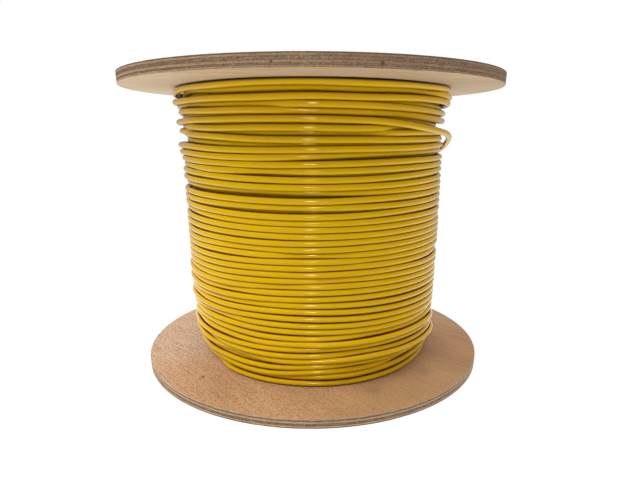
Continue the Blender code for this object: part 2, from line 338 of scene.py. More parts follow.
def ramp(factor, stops, hard=False):
    made = addNode("ValToRGB", Fac=factor)
    band = made.color_ramp
    band.interpolation = "CONSTANT" if hard else "LINEAR"
    while len(band.elements) < len(stops):
        band.elements.new(1.0)
    for element, (at, colour) in zip(band.elements, stops):
        element.position = at
        element.color = (*colour, 1.0) if isinstance(colour, tuple) else (colour, colour, colour, 1.0)
    return made.outputs["Color"]


def bumpFrom(height, depth, strength=1.0):
    made = addNode("Bump", Height=height, Strength=strength, Distance=depth)
    return made.outputs["Normal"]


def srgb(red, green, blue):
    # a screen colour, 0 to 255, as the linear one that shaders take
    out = []
    for part in (red, green, blue):
        part /= 255
        out.append(part / 12.92 if part <= 0.04045 else ((part + 0.055) / 1.055) ** 2.4)
    return tuple(out)


# camera, floor and light

camera = {
    "place": (0.0091, -0.5235, 0.2281),
    "pitchDown": 19.42,   # degrees
    "lens": 27.74,
    "roll": 0.09,   # degrees
    "shiftUp": 0.1035,
    "shiftAside": -0.0022,
}

eye = linked("camera", bpy.data.cameras.new("camera"))
eye.location = camera["place"]
tilt = Matrix.Rotation(math.radians(90 - camera["pitchDown"]), 4, "X")
eye.rotation_euler = (tilt @ Matrix.Rotation(math.radians(camera["roll"]), 4, "Z")).to_euler()
eye.data.sensor_width = 36
eye.data.lens = camera["lens"]
eye.data.shift_x = camera["shiftAside"]
eye.data.shift_y = camera["shiftUp"]
eye.data.clip_start = 0.01
bpy.context.scene.camera = eye
bpy.context.scene.view_settings.view_transform = "Standard"

light = {
    # light from the room behind the camera, from the sides and from overhead, and where they change
    "frontSoft": 0.06, "sideSoft": 0.72, "softFrom": (-0.85, 0.1),
    "overheadSoft": 1.5, "overheadFrom": (0.35, 0.9),
    # how white the room behind the camera looks in gloss, and the sweep behind the reel
    "dimGloss": 0.05, "sweepGloss": 0.4, "dimFrom": (0.1, 0.7),
    "floorSize": 8.0,
    "floorWhite": 0.93,   # how much of the floor's white is its own, the rest takes light and shadow
    "floorGlow": 1.06,
    "floorBounce": 0.8,   # and how much of what it throws back at the reel is its own
    "floorColour": (0.86, 0.86, 0.86),
    # how bright the floor looks in gloss: from where it changes, to where, and the levels there
    "frontGloss": (-0.32, -0.06, 0.12, 1.35),
    "farGloss": (0.3, 0.8, 1.0, 0.4),
    # name, place, aimed at, width, height, watts, colour, and whether it shows in gloss alone
    "lamps": [
        ("window", (-0.05, -1.90, 0.80), (0, 0, 0.14), 0.30, 0.16, 11.0, (1.0, 0.78, 0.36), True),
        ("leftSoft", (-1.05, -0.65, 1.62), (0, 0, 0.08), 1.1, 1.1, 19.0, (0.95, 1.0, 0.97), False),
    ],
}


def seenAndGloss():
    # 1 for what is seen straight or through something, and 1 for what is seen in gloss
    path = addNode("LightPath").outputs
    seen = maths("MAXIMUM", path["Is Camera Ray"], path["Is Transmission Ray"])
    return seen, path["Is Glossy Ray"]


def makeWorld():
    world = bpy.data.worlds.new("studio")
    bpy.context.scene.world = world
    startTree(world).nodes.clear()
    seen, gloss = seenAndGloss()
    # gloss sees the white sweep behind and beside the reel, and a dimmer room behind the camera
    way = addNode("TexCoord").outputs["Generated"]
    ahead, up = along("Y", way), along("Z", way)
    sweep = rescale(ahead, *light["dimFrom"], light["dimGloss"], light["sweepGloss"])
    white = maths("MAXIMUM", seen, maths("MULTIPLY", gloss, sweep))
    unseen = maths("SUBTRACT", 1.0, maths("MAXIMUM", seen, gloss))
    level = rescale(ahead, *light["softFrom"], light["frontSoft"], light["sideSoft"])
    overhead = rescale(up, *light["overheadFrom"], 0.0, light["overheadSoft"])
    soft = maths("MULTIPLY", unseen, maths("MAXIMUM", level, overhead))
    shine = addNode("Background", Color=(1, 1, 1), Strength=maths("ADD", white, soft))
    addNode("OutputWorld", Surface=shine.outputs[0])


def makeFloor():
    deselectAll()
    bpy.ops.mesh.primitive_plane_add(size=light["floorSize"], location=(0, 0, -0.2 * mm))
    floor = bpy.context.object
    floor.name = "floor"
    material, shader, place = newMaterial("white sweep")
    setSockets(shader, {
        "Base Color": light["floorColour"], "Roughness": 0.9, "Specular IOR Level": 0.0,
    })
    seen, gloss = seenAndGloss()
    seen = maths("MAXIMUM", seen, gloss)
    share = maths("MULTIPLY", seen, light["floorWhite"])
    bounce = maths("MULTIPLY", maths("SUBTRACT", 1.0, seen), light["floorBounce"])
    front = rescale(along("Y", place), *light["frontGloss"])
    far = rescale(measure("LENGTH", place), *light["farGloss"])
    dimmed = rescale(gloss, 0, 1, 1, maths("MULTIPLY", front, far))
    level = maths("MULTIPLY", dimmed, light["floorGlow"])
    glow = addNode("Emission", Color=(1, 1, 1), Strength=level)
    both = addNode("MixShader", Fac=maths("ADD", share, bounce))
    put(both.inputs[1], shader.outputs[0])
    put(both.inputs[2], glow.outputs[0])
    put(material.node_tree.nodes["Material Output"].inputs["Surface"], both.outputs[0])
    floor.data.materials.append(material)


def makeLamps():
    for name, place, aim, width, height, watts, colour, glint in light["lamps"]:
        lamp = bpy.data.lights.new(name, "AREA")
        lamp.shape = "RECTANGLE"
        lamp.size, lamp.size_y = width, height
        lamp.energy = watts
        lamp.color = colour
        obj = linked(name, lamp)
        obj.visible_diffuse, obj.visible_glossy = not glint, glint
        obj.location = place
        obj.rotation_euler = (Vector(aim) - Vector(place)).to_track_quat("-Z", "Y").to_euler()


makeWorld()
makeFloor()
makeLamps()
print("camera, floor and light set")


# where the cable's two ends run

cable = {
    "across": 5.3 * mm,
    "packRadius": 128 * mm,
    "turns": 46,
    "sides": 12,
    "pointsPerTurn": 96,
    "stepFrom": 37.5,   # degrees, with +X at 0 and the camera at -90: where a turn starts to step down
    "stepSector": 105,
}

ends = {
    "endRun": 62 * mm, "endEase": 12,
    "endBend": 75 * mm, "endCurl": 50,
    "startAngle": 62, "startRadius": 80 * mm, "startDepth": 5.5 * mm,
    "startSlope": 35, "startBend": 22 * mm, "startRun": 90 * mm, "startCurl": 52,
    "startHole": 5.5 * mm,
}

levelPart = 1 - cable["stepSector"] / 360   # of each turn
lineRadius = cable["packRadius"] - cable["across"] / 2
highest = upperFace - clear - cable["across"] / 2
lowest = lowerFace + clear + cable["across"] / 2


def outerEndRoute():
    # off the last turn in a soft S and over the lower flange
    angle = math.radians(cable["stepFrom"])
    return walk(polar(lineRadius, angle, lowest), angle + math.pi / 2, [
        (ends["endRun"], math.radians(ends["endEase"]), 0),
        (ends["endBend"], math.radians(ends["endCurl"]), 0),
        (2 * cable["across"], 0, 0),
    ])


def startRoute():
    # out of the winding beside the drum, up a slanting hole and along the upper face
    low = upperFace - ends["startDepth"]
    high = reelHeight + clear + cable["across"] / 2
    slope, bend = math.radians(ends["startSlope"]), ends["startBend"]
    rise = walk((0, 0, 0), 0, [(bend, 0, slope)])[-1].z
    slant = (high - low - 2 * rise) / math.sin(slope)
    angle = math.radians(ends["startAngle"])
    start = polar(ends["startRadius"], angle, low)
    inside = [(cable["across"], 0, 0), (bend, 0, slope), (slant, 0, 0)]
    outside = [
        (bend, 0, -slope), (ends["startRun"], math.radians(ends["startCurl"]), 0),
        (2 * cable["across"], 0, 0),
    ]
    yaw = angle + math.pi / 2
    return walk(start, yaw, inside), walk(start, yaw, inside + outside)


outerEnd = outerEndRoute()
startInside, startTail = startRoute()


# plywood

plywood = {
    "lower": {
        "name": "lower plywood",
        "outside": 0.0, "inside": lowerFace,
        "fibre": -47,
        "faceColours": (srgb(214, 182, 155), srgb(204, 160, 121), srgb(180, 140, 97)),
        "streak": srgb(168, 120, 84),
        "pore": srgb(118, 70, 42),
        "poreShare": 0.57,
        "endGrain": srgb(138, 104, 74),
        "longGrain": srgb(216, 184, 146),
        "weatherAndRimLight": 0.75,
        # a knot and two stains: place, size and strength
        "marks": (
            (-0.103, -0.1053, 0.0094, 1.7 * mm, 0.85), (0.0557, -0.1298, 0.0094, 6 * mm, 0.22),
            (0.1099, -0.0921, 0.0094, 7 * mm, 0.22),
        ),
    },
    "upper": {
        "name": "upper plywood",
        "outside": reelHeight, "inside": upperFace,
        "fibre": 3,
        "faceColours": (srgb(225, 209, 180), srgb(217, 193, 158), srgb(201, 176, 143)),
        "streak": srgb(178, 142, 104),
        "pore": srgb(160, 120, 86),
        "poreShare": 0.70,
        "endGrain": srgb(132, 102, 78),
        "longGrain": srgb(190, 158, 124),
        "weatherAndRimLight": 0.26,
        # a dark dot and a knot in the sawn edge
        "marks": (
            (-0.0232, -0.1763, 0.2708, 0.9 * mm, 0.85), (0.0486, -0.1710, 0.2704, 1.2 * mm, 0.85),
        ),
    },
    # plies from the outside face to the inside one: where each starts, and which way it runs
    "plies": ((0.0, 1), (0.10, 0), (0.26, 1), (0.50, 0), (0.70, 1), (0.82, 0)),
    "skin": srgb(122, 78, 62),   # the outside veneer's edge
    "darkerTowards": (1.25, -2.1, 0.0),   # the way in which the faces get darker, towards the front and the right, and how much per metre
    "glue": srgb(84, 58, 42),
    # how many there are in a metre across the fibres
    "often": {"tone": 13, "fibres": 620, "pores": 1250, "wander": 60, "grit": 700, "lines": 1500},
}


def veneerFace(place, look):
    # fibres, short dark pores along them, and slow changes of tone
    often = plywood["often"]
    angle = -math.radians(look["fibre"])
    turned = addNode("VectorRotate", {"rotation_type": "Z_AXIS"}, Vector=place, Angle=angle).outputs[0]
    tone = noiseAt(stretch(turned, 0.5, 1, 1), often["tone"], 3)
    tone = maths("SUBTRACT", tone, 0.1)
    tone = maths("ADD", tone, measure("DOT_PRODUCT", place, plywood["darkerTowards"]))
    fibres = noiseAt(stretch(turned, 0.045, 1, 1), often["fibres"], 4, 0.6)
    pores = noiseAt(stretch(turned, 0.25, 1, 1), often["pores"], 2)
    pale, plain, dark = look["faceColours"]
    face = ramp(rescale(tone, 0.15, 0.85), ((0.0, pale), (0.5, plain), (1.0, dark)))
    face = tint(face, look["streak"], fibres, 0.48, 0.68, 0, 0.7)
    # the pores are fainter to the right
    strength = rescale(pores, look["poreShare"] - 0.04, look["poreShare"] + 0.06, 0, 0.75)
    fading = rescale(along("X", place), -0.02, 0.12, 1, 0.4)
    return blend(maths("MULTIPLY", strength, fading), face, look["pore"]), fibres, pores


def sawnRim(place, look):
    # plies by height, end grain where their fibres meet the surface
    often = plywood["often"]
    height = rescale(along("Z", place), look["outside"], look["inside"])
    wander = rescale(noiseAt(place, often["wander"], 3), 0, 1, -0.035, 0.035)
    level = maths("ADD", height, wander)
    crossed = ramp(level, plywood["plies"], hard=True)
    # the plies show more to the left of the camera, and blend to an even grey to its right: weathering,
    # with painted light on the rim
    side = rescale(along("X", place), -rimRadius, 0.1 * rimRadius, 1.0, look["weatherAndRimLight"])
    endOn = maths("MULTIPLY_ADD", maths("SUBTRACT", crossed, 0.5), side, 0.55)
    grit = noiseAt(stretch(place, 1, 1, 1.6), often["grit"], 3, 0.7)
    lines = noiseAt(stretch(place, 0.07, 0.07, 1), often["lines"], 3)
    rim = blend(endOn, look["longGrain"], look["endGrain"])
    rim = tint(rim, plywood["glue"], lines, 0.35, 0.7, 0.0, 0.45)
    for colour, gritty, share in (
        (plywood["glue"], (0.5, 0.62), (0.15, 0.8)), (look["longGrain"], (0.46, 0.36), (0.2, 0.55)),
    ):
        speckle = rescale(grit, *gritty)
        speckle = maths("MULTIPLY", speckle, rescale(endOn, 0, 1, *share))
        rim = blend(speckle, rim, colour)
    seams = [(0.0, 0.0)]
    for start, _ in plywood["plies"][1:]:
        seams += [(start - 0.03, 0.0), (start, 0.7), (start + 0.03, 0.0)]
    rim = blend(ramp(level, seams), rim, plywood["glue"])
    return tint(rim, plywood["skin"], level, 0.06, 0.10, 0.7, 0.0), grit


def plywoodMaterial(look):
    material, shader, place = newMaterial(look["name"])
    face, fibres, pores = veneerFace(place, look)
    rim, grit = sawnRim(place, look)
    upright = along("Z", addNode("NewGeometry").outputs["True Normal"])
    isFace = rescale(maths("ABSOLUTE", upright), 0.5, 0.8)
    surface = blend(isFace, rim, face)
    for *spot, size, strength in look["marks"]:
        ragged = maths("MULTIPLY_ADD", grit, 2 * size, measure("DISTANCE", place, spot))
        surface = tint(surface, plywood["glue"], ragged, 1.5 * size, 2.6 * size, strength, 0)
    relief = blend(isFace, grit, maths("SUBTRACT", 1.0, pores))
    setSockets(shader, {
        "Base Color": surface,
        "Normal": bumpFrom(relief, 0.15 * mm, 0.5),
        "Roughness": rescale(fibres, 0.3, 0.7, 0.5, 0.72),
        "Specular IOR Level": 0.35,
    })
    return material


# flanges

board = {
    "arbor": 25.4 * mm,
    "arborSoft": 0.4 * mm,
    "arris": 0.6 * mm,
    "steps": 240,
    "rimRows": 4,
    "rimBand": 0.3 * mm,   # what lies no deeper than this belongs to the rim
    "rimCuts": 4,   # each of the rim's faces is divided this often both ways
    "grooveOut": drumRadius + clear,
    "grooveIn": drumRadius - 5 * mm - clear,
    "grooveDepth": 4 * mm,
    # the sawn edge: how deep its grain and its chips go, how near a corner the chips stay,
    # and how many there are of them in a metre, the grain's along the rim and up it
    "ragged": 0.22 * mm, "chip": 0.9 * mm, "chipReach": 1.3 * mm,
    "fine": 420, "chips": 110, "grain": (30, 700),
    "chipRare": 0.42,
}

fixing = {
    "count": 4,
    "circle": 52 * mm,
    "boltRadius": 4.0 * mm, "boltTip": 1.0 * mm, "tipChamfer": 0.7 * mm,
    "headRadius": 9.2 * mm, "headRim": 1.0 * mm, "headHeight": 3.8 * mm,
    "socketFlats": 5.0 * mm, "socketDepth": 2.2 * mm,
    "threadLong": 30 * mm, "pitch": 1.25 * mm, "threadDeep": 0.45 * mm, "threadSteps": 24,
    "washerRadius": 11 * mm, "washerThick": 1.6 * mm,
    "nutRadius": 11 * mm, "nutThick": 1.5 * mm, "nutSunk": 0.5 * mm,
    "barrelRadius": 5.3 * mm, "barrelLong": 6.5 * mm,
    "prongLong": 5.0 * mm, "prongWide": 2.9 * mm, "prongTip": 0.7 * mm, "prongShoulder": 1.8 * mm,
    "prongPlate": 1.2 * mm, "prongInset": 0.85 * mm, "slotThick": 1.4 * mm,
    "steps": 64,
}

staple = {
    "wire": 1.1 * mm,
    "clear": 0.4 * mm,
    "bite": 6.0 * mm,
    "crownCurve": 1.3 * mm,
    "pointLong": 1.4 * mm, "pointIn": 0.3 * mm,
    "softened": 0.14 * mm,
    # node, route and how far before its end the staple sits
    "spots": (
        ("staple_1", startTail, 75.6 * mm),
        ("staple_2", startTail, 15.6 * mm),
        ("staple_3", outerEnd, 15.3 * mm),
    ),
}


def fixingSpots():
    for n in range(fixing["count"]):
        angle = (n + 0.5) * math.tau / fixing["count"]
        yield n + 1, angle, polar(fixing["circle"], angle)


def boardProfile():
    # half section with the inner face up
    arbor, soft, rows, thick = board["arbor"], board["arborSoft"], board["rimRows"], lowerFace
    arris, corner = board["arris"], 0.3 * board["arris"]
    rim = [(rimRadius, arris + (thick - 2 * arris) * n / rows) for n in range(rows + 1)]
    return [
        (arbor, soft), (arbor + soft, 0),
        (rimRadius - arris, 0), (rimRadius - corner, corner), *rim,
        (rimRadius - corner, thick - corner), (rimRadius - arris, thick),
        (board["grooveOut"], thick), (board["grooveOut"], thick - board["grooveDepth"]),
        (board["grooveIn"], thick - board["grooveDepth"]), (board["grooveIn"], thick),
        (arbor + soft, thick), (arbor, thick - soft),
    ]


def drill(obj, radius, low, high):
    # four straight holes on the bolt circle
    made = []
    for _, _, middle in fixingSpots():
        bpy.ops.mesh.primitive_cylinder_add(
            vertices=fixing["steps"], radius=radius, depth=high - low,
            location=(middle.x, middle.y, (low + high) / 2),
        )
        made.append(bpy.context.object)
    takeOut(obj, joinPieces(made, "drill"))


def cutProngSlots(obj):
    low = fixing["nutSunk"] + fixing["nutThick"] / 2
    high = fixing["nutSunk"] + fixing["nutThick"] + fixing["prongLong"] + clear
    size = (fixing["slotThick"] + 4 * clear, fixing["prongWide"] + 3 * clear, high - low)
    out = fixing["nutRadius"] - fixing["slotThick"] / 2
    made = []
    for _, angle, middle in fixingSpots():
        for n in range(4):
            way = angle + n * math.tau / 4
            spot = (middle.x + out * math.cos(way), middle.y + out * math.sin(way), (low + high) / 2)
            made.append(block(spot, size, way))
    takeOut(obj, joinPieces(made, "prongSlots"))


def spotOnRoute(points, beforeEnd):
    # place and heading of a route this far before its end
    gone = 0.0
    for after, before in zip(points[::-1], points[-2::-1]):
        length = (after - before).length
        if gone + length >= beforeEnd:
            way = (after - before).normalized()
            return after - way * (beforeEnd - gone), math.atan2(way.y, way.x)
        gone += length
    return points[0], 0.0


def staplePlaces():
    for node, route, beforeEnd in staple["spots"]:
        middle, turn = spotOnRoute(route, beforeEnd)
        face = lowerFace if route is outerEnd else reelHeight
        yield node, Matrix.Translation((middle.x, middle.y, face)) @ Matrix.Rotation(turn, 4, "Z")


def cutStapleSlots(obj, *nodes):
    side = staple["wire"] + 2 * clear
    deep = staple["bite"] + clear + beyond
    across = cable["across"] / 2 + staple["clear"] + staple["wire"] / 2
    for name, place in staplePlaces():
        if name in nodes:
            legs = [block((0, y, beyond - deep / 2), (side, side, deep)) for y in (-across, across)]
            cutter = joinPieces(legs, "legSlots")
            cutter.data.transform(place)
            takeOut(obj, cutter)


def cutStartHole(obj):
    way = headingOf(startInside)
    middle = startInside[-1] + way * ((upperFace + reelHeight) / 2 - startInside[-1].z) / way.z
    reach = way * 2.5 * lowerFace
    hole = tubePiece("startHole", [middle - reach, middle + reach], 2 * ends["startHole"], 32, None)
    takeOut(obj, hole)


def roughenRim(obj, outside, seed):
    # the sawn edge: plies a little proud or sunk, and chips along the corners
    inner = rimRadius - board["rimBand"]
    selectFaces(obj, lambda face: face.center.xy.length > inner and abs(face.normal.z) < 0.3)
    bpy.ops.mesh.subdivide(number_cuts=board["rimCuts"])
    leaveEditing()
    around, up = board["grain"]
    for vertex in obj.data.vertices:
        spot = vertex.co
        radius = spot.xy.length
        if radius < inner:
            continue
        fine = noise.noise(spot * board["fine"] + Vector((seed, 0, 0)))
        drawn = Vector((spot.x * around, spot.y * around, spot.z * up))
        plain = noise.noise(drawn + Vector((seed, 9, 0)))
        bite = noise.noise(spot * board["chips"] + Vector((seed, 5, 3))) - board["chipRare"]
        edge = min(abs(spot.z - outside), abs(abs(spot.z - outside) - lowerFace))
        depth = board["ragged"] * (0.5 + 0.5 * (0.6 * fine + 0.6 * plain))
        depth += board["chip"] * max(0.0, bite) * 3 * math.exp(-edge / board["chipReach"])
        spot.xy *= (rimRadius - max(depth, 0.02 * mm)) / radius
    obj.data.update()


def makeBoard(name, flipped, finish):
    profile = boardProfile()
    if flipped:
        profile = [(radius, reelHeight - height) for radius, height in profile]
    obj = turnProfile(name, profile, board["steps"])
    obj.data.materials.append(finish)
    return obj


def makeLowerBoard():
    obj = makeBoard("lower_board", False, plywoodMaterial(plywood["lower"]))
    drill(obj, fixing["barrelRadius"] + clear, -beyond, lowerFace + beyond)
    drill(obj, fixing["nutRadius"] + clear, -beyond, fixing["nutSunk"] + fixing["nutThick"] + clear)
    cutProngSlots(obj)
    cutStapleSlots(obj, "staple_3")
    roughenRim(obj, 0.0, 3.0)
    smoothByAngle(obj, 30)
    finishPiece(obj, "plywood", "bottom_flange")


def makeUpperBoard():
    obj = makeBoard("upper_board", True, plywoodMaterial(plywood["upper"]))
    drill(obj, fixing["boltRadius"] + clear, upperFace - beyond, reelHeight + beyond)
    cutStapleSlots(obj, "staple_1", "staple_2")
    cutStartHole(obj)
    roughenRim(obj, reelHeight, 8.0)
    smoothByAngle(obj, 30)
    finishPiece(obj, "plywood", "top_flange")


makeLowerBoard()
makeUpperBoard()
print("flanges made")


# bolts, washers, tee nuts and staples

steel = {
    "zinc": srgb(186, 188, 186),
    "dull": srgb(150, 150, 146),
    "roughness": (0.26, 0.46),
    "often": {"spangle": 420, "scuffs": 900, "grain": 2500},   # in a metre
}


def steelMaterial():
    material, shader, place = newMaterial("zinc-plated steel")
    often = steel["often"]
    spangle, scuffs = noiseAt(place, often["spangle"], 3), noiseAt(place, often["scuffs"], 4)
    setSockets(shader, {
        "Base Color": tint(steel["zinc"], steel["dull"], spangle, 0.3, 0.7),
        "Roughness": rescale(scuffs, 0.3, 0.7, *steel["roughness"]),
        "Normal": bumpFrom(noiseAt(place, often["grain"], 2), 0.02 * mm),
        "Metallic": 1.0,
    })
    return material


def boltProfile():
    # with the head's underside at height 0
    tip = fixing["boltTip"] - (reelHeight + 2 * clear + fixing["washerThick"])
    radius, chamfer = fixing["boltRadius"], fixing["tipChamfer"]
    root = radius - fixing["threadDeep"]
    crown = fixing["headHeight"] - fixing["headRim"]
    dome = []
    for degrees in range(0, 90, 10):
        angle = math.radians(degrees)
        out, up = fixing["headRadius"] * math.cos(angle), fixing["headRim"] + crown * math.sin(angle)
        dome.append((out, up))
    return [
        (0, tip), (root - chamfer / 2, tip), (root, tip + chamfer / 2),
        (root, tip + fixing["threadLong"]), (radius, tip + fixing["threadLong"] + fixing["threadDeep"]),
        (radius, 0), (fixing["headRadius"] - 0.2 * mm, 0), (fixing["headRadius"], 0.2 * mm),
        *dome, (0, fixing["headHeight"]),
    ], tip


def makeBolt(finish):
    profile, tip = boltProfile()
    body = turnProfile("bolt", profile, fixing["steps"])
    # the thread's ridge, wound round the thinner end of the shank
    ridge = fixing["threadDeep"] * 0.9
    perTurn = fixing["threadSteps"]
    helix = []
    start = tip + fixing["tipChamfer"] + ridge
    for n in range(int((fixing["threadLong"] - 3 * ridge) / fixing["pitch"]) * perTurn):
        angle = math.tau * n / perTurn
        out = fixing["boltRadius"] - ridge * (1 if n > perTurn else 1.8 - 0.8 * n / perTurn)
        helix.append(polar(out, angle, start + fixing["pitch"] * n / perTurn))
    thread = tubePiece("thread", helix, 2 * ridge, 4, None, smooth=False)
    # the driving socket
    flats = fixing["socketFlats"] / 2 / math.cos(math.radians(30))
    deep = fixing["socketDepth"] + beyond
    middle = fixing["headHeight"] - fixing["socketDepth"] + deep / 2
    bpy.ops.mesh.primitive_cylinder_add(vertices=6, radius=flats, depth=deep, location=(0, 0, middle))
    takeOut(body, settleInMesh(bpy.context.object))
    return coated(joinPieces([body, thread], "bolt"), finish)


def makeWasher(finish):
    inner, outer, thick = fixing["boltRadius"] + clear, fixing["washerRadius"], fixing["washerThick"]
    soft = 0.35 * mm
    profile = [
        (inner, 0.1 * mm), (inner + 0.1 * mm, 0), (outer - 0.1 * mm, 0), (outer, 0.1 * mm),
        (outer, thick - soft), (outer - 0.3 * soft, thick - 0.3 * soft), (outer - soft, thick),
        (inner + 0.2 * mm, thick), (inner, thick - 0.2 * mm),
    ]
    return coated(turnProfile("washer", profile, fixing["steps"]), finish)


def makeTeeNut(finish):
    inner, barrel, disc = fixing["boltRadius"] + clear, fixing["barrelRadius"], fixing["nutRadius"]
    thick, tall = fixing["nutThick"], fixing["nutThick"] + fixing["barrelLong"]
    profile = [
        (inner, 0.35 * mm), (inner + 0.35 * mm, 0), (disc - 0.3 * mm, 0), (disc, 0.3 * mm),
        (disc, thick - 0.2 * mm), (disc - 0.2 * mm, thick),
        (barrel, thick), (barrel, tall - 0.2 * mm), (barrel - 0.2 * mm, tall), (inner + 0.2 * mm, tall),
        (inner, tall - 0.2 * mm),
    ]
    nut = turnProfile("teeNut", profile, fixing["steps"])
    # prongs bent up out of the disc's edge, drawn to a point
    half, point, low = fixing["prongWide"] / 2, fixing["prongTip"] / 2, thick / 2
    tip, shoulder = thick + fixing["prongLong"], thick + fixing["prongShoulder"]
    outline = [
        (-half, low), (half, low), (half, shoulder), (point, tip), (-point, tip), (-half, shoulder),
    ]
    prong = plateFromOutline("prong", outline, fixing["prongPlate"])
    for n in range(4):
        out = Matrix.Translation((disc - fixing["prongInset"], 0, 0))
        twin = copyOf(prong, "prong", Matrix.Rotation(n * math.tau / 4, 4, "Z") @ out)
        applyModifier(nut, "BOOLEAN", operation="UNION", solver="EXACT", object=twin)
        remove(twin)
    remove(prong)
    return coated(nut, finish)


def makeStaple(finish):
    # astride the cable along X, with the flange's face at height 0
    inner = cable["across"] / 2 + staple["clear"]
    outer, under = inner + staple["wire"], 2 * clear + cable["across"]
    top, curve, foot = under + staple["wire"], staple["crownCurve"], -staple["bite"]
    point, taper = staple["pointIn"], foot + staple["pointLong"]
    arc = []
    for degrees in range(0, 91, 15):
        angle = math.radians(degrees)
        arc.append((outer - curve + curve * math.cos(angle), top - curve + curve * math.sin(angle)))
    right = [(inner, taper), (inner + point, foot), (outer - point, foot), (outer, taper), *arc]
    hollow = [(inner, under - point), (inner - point, under)]
    outline = right + [(-y, z) for y, z in right[::-1]] + [(-y, z) for y, z in hollow] + hollow[::-1]
    obj = plateFromOutline("staple", outline, staple["wire"])
    width, sharp = staple["softened"], math.radians(50)
    applyModifier(obj, "BEVEL", width=width, segments=2, limit_method="ANGLE", angle_limit=sharp)
    return coated(obj, finish)


def placeFasteners():
    finish = steelMaterial()
    bolt, washer, nut, wire = (make(finish) for make in (makeBolt, makeWasher, makeTeeNut, makeStaple))
    headUnder = reelHeight + 2 * clear + fixing["washerThick"]
    for n, angle, middle in fixingSpots():
        turn = Matrix.Rotation(angle, 4, "Z")
        for source, node, height in (
            (bolt, "tie_bolt_", headUnder), (washer, "washer_", reelHeight + clear),
            (nut, "tee_nut_", fixing["nutSunk"]),
        ):
            place = Matrix.Translation((middle.x, middle.y, height)) @ turn
            finishPiece(copyOf(source, f"{source.name}_{n}", place), "steel", f"{node}{n}")
    for node, place in staplePlaces():
        finishPiece(copyOf(wire, "wire_" + node, place), "steel", node)
    for obj in (bolt, washer, nut, wire):
        remove(obj)


placeFasteners()
print("fasteners made")


# drum, the CAD tube in wound kraft paper

drum = {
    "kraft": srgb(164, 128, 92),
    "seam": srgb(120, 88, 60),
    "wrap": 90 * mm,   # how wide the paper strips are, measured along the tube
    "fuzz": 260,   # in a metre
}


def drumMaterial():
    material, shader, place = newMaterial("wound kraft paper")
    around = maths("ARCTAN2", along("Y", place), along("X", place))
    turns = maths("DIVIDE", around, math.tau)
    strips = maths("DIVIDE", along("Z", place), drum["wrap"])
    strip = maths("FRACT", maths("ADD", strips, turns))
    edge = ramp(strip, ((0.0, 1.0), (0.012, 0.0), (0.985, 0.0), (1.0, 1.0)))
    fuzz = noiseAt(stretch(place, 1, 1, 0.4), drum["fuzz"], 5, 0.6)
    paper = tint(drum["kraft"], drum["seam"], fuzz, 0.35, 0.7, 0, 0.5)
    setSockets(shader, {
        "Base Color": blend(edge, paper, drum["seam"]),
        "Normal": bumpFrom(fuzz, 0.1 * mm, 0.4),
        "Roughness": 0.85,
    })
    return material


drumTube = bpy.data.objects["drum_tube"]
drumTube.data.materials.clear()
drumTube.data.materials.append(drumMaterial())


# cable jacket

jacket = {
    "yellow": srgb(231, 189, 2),
    "deep": srgb(220, 174, 1),
    "often": {"patches": 14, "scuffs": 160, "grain": 1800},   # in a metre
    "roughness": (0.06, 0.14),   # scuffed a little from handling
    # painted shade in the furrows, where the jacket's surface turns away from the pack's outside and
    # the turns shade each other
    "furrow": (0.6, 0.0),
    "furrowShade": (
        (0.0, (1, 1, 1)), (0.4, (0.99, 0.9, 0.85)),
        (0.8, (0.8, 0.42, 0.3)), (1.0, (0.22, 0.035, 0.05)),
    ),
    "packOnly": (129.5 * mm, 131 * mm),   # the turns that stand off the pack get no painted shade
    # painted shadow, darker yet, against the flanges: height, and how near it is full and is gone
    "flangeShadows": ((lowerFace, 0.5 * mm, 2.1 * mm), (upperFace, 1.2 * mm, 2.8 * mm)),
    "flangeShadowColour": srgb(62, 34, 16),
}


def furrowsOf(radius, height, outward):
    # 1 where the jacket's surface is turned away from the pack's outside, and 0 off the pack: where the
    # furrows' painted shade goes
    turned = addNode(
        "VectorTransform",
        {"vector_type": "NORMAL", "convert_from": "WORLD", "convert_to": "OBJECT"},
        Vector=addNode("NewGeometry").outputs["Normal"],
    ).outputs[0]
    facing = maths("DIVIDE", measure("DOT_PRODUCT", outward, turned), radius)
    furrow = rescale(facing, *jacket["furrow"])
    for where, kept, gone in ((radius, *jacket["packOnly"]), (height, upperFace, reelHeight)):
        furrow = maths("MULTIPLY", furrow, rescale(where, kept, gone, 1, 0))
    return furrow


def jacketMaterial():
    material, shader, place = newMaterial("yellow jacket")
    height, outward = along("Z", place), stretch(place, 1, 1, 0)
    furrow = furrowsOf(measure("LENGTH", outward), height, outward)
    often = jacket["often"]
    yellow = blend(noiseAt(place, often["patches"], 3, 0.6), jacket["yellow"], jacket["deep"])
    # the painted shade is multiplied into the yellow, darker and redder deep in the furrows
    coat = blend(1.0, yellow, ramp(furrow, jacket["furrowShade"]), "MULTIPLY")
    # a painted shadow along each flange face, where the turns meet the boards
    for face, full, gone in jacket["flangeShadows"]:
        away = maths("ABSOLUTE", maths("SUBTRACT", height, face))
        near = rescale(away, full, gone, 0.95, 0)
        coat = blend(near, coat, jacket["flangeShadowColour"])
        furrow = maths("MAXIMUM", furrow, near)
    scuffs = noiseAt(place, often["scuffs"], 4, 0.7)
    setSockets(shader, {
        "Base Color": coat,
        # where shade is painted, in the furrows and against the flanges, the gloss is taken away too
        "Specular IOR Level": rescale(furrow, 0.7, 1.0, 0.5, 0.04),
        "Roughness": rescale(scuffs, 0, 1, *jacket["roughness"]),
        "Normal": bumpFrom(noiseAt(place, often["grain"]), 0.03 * mm, 0.12),
    })
    return material


jacketFinish = jacketMaterial()


# cable winding

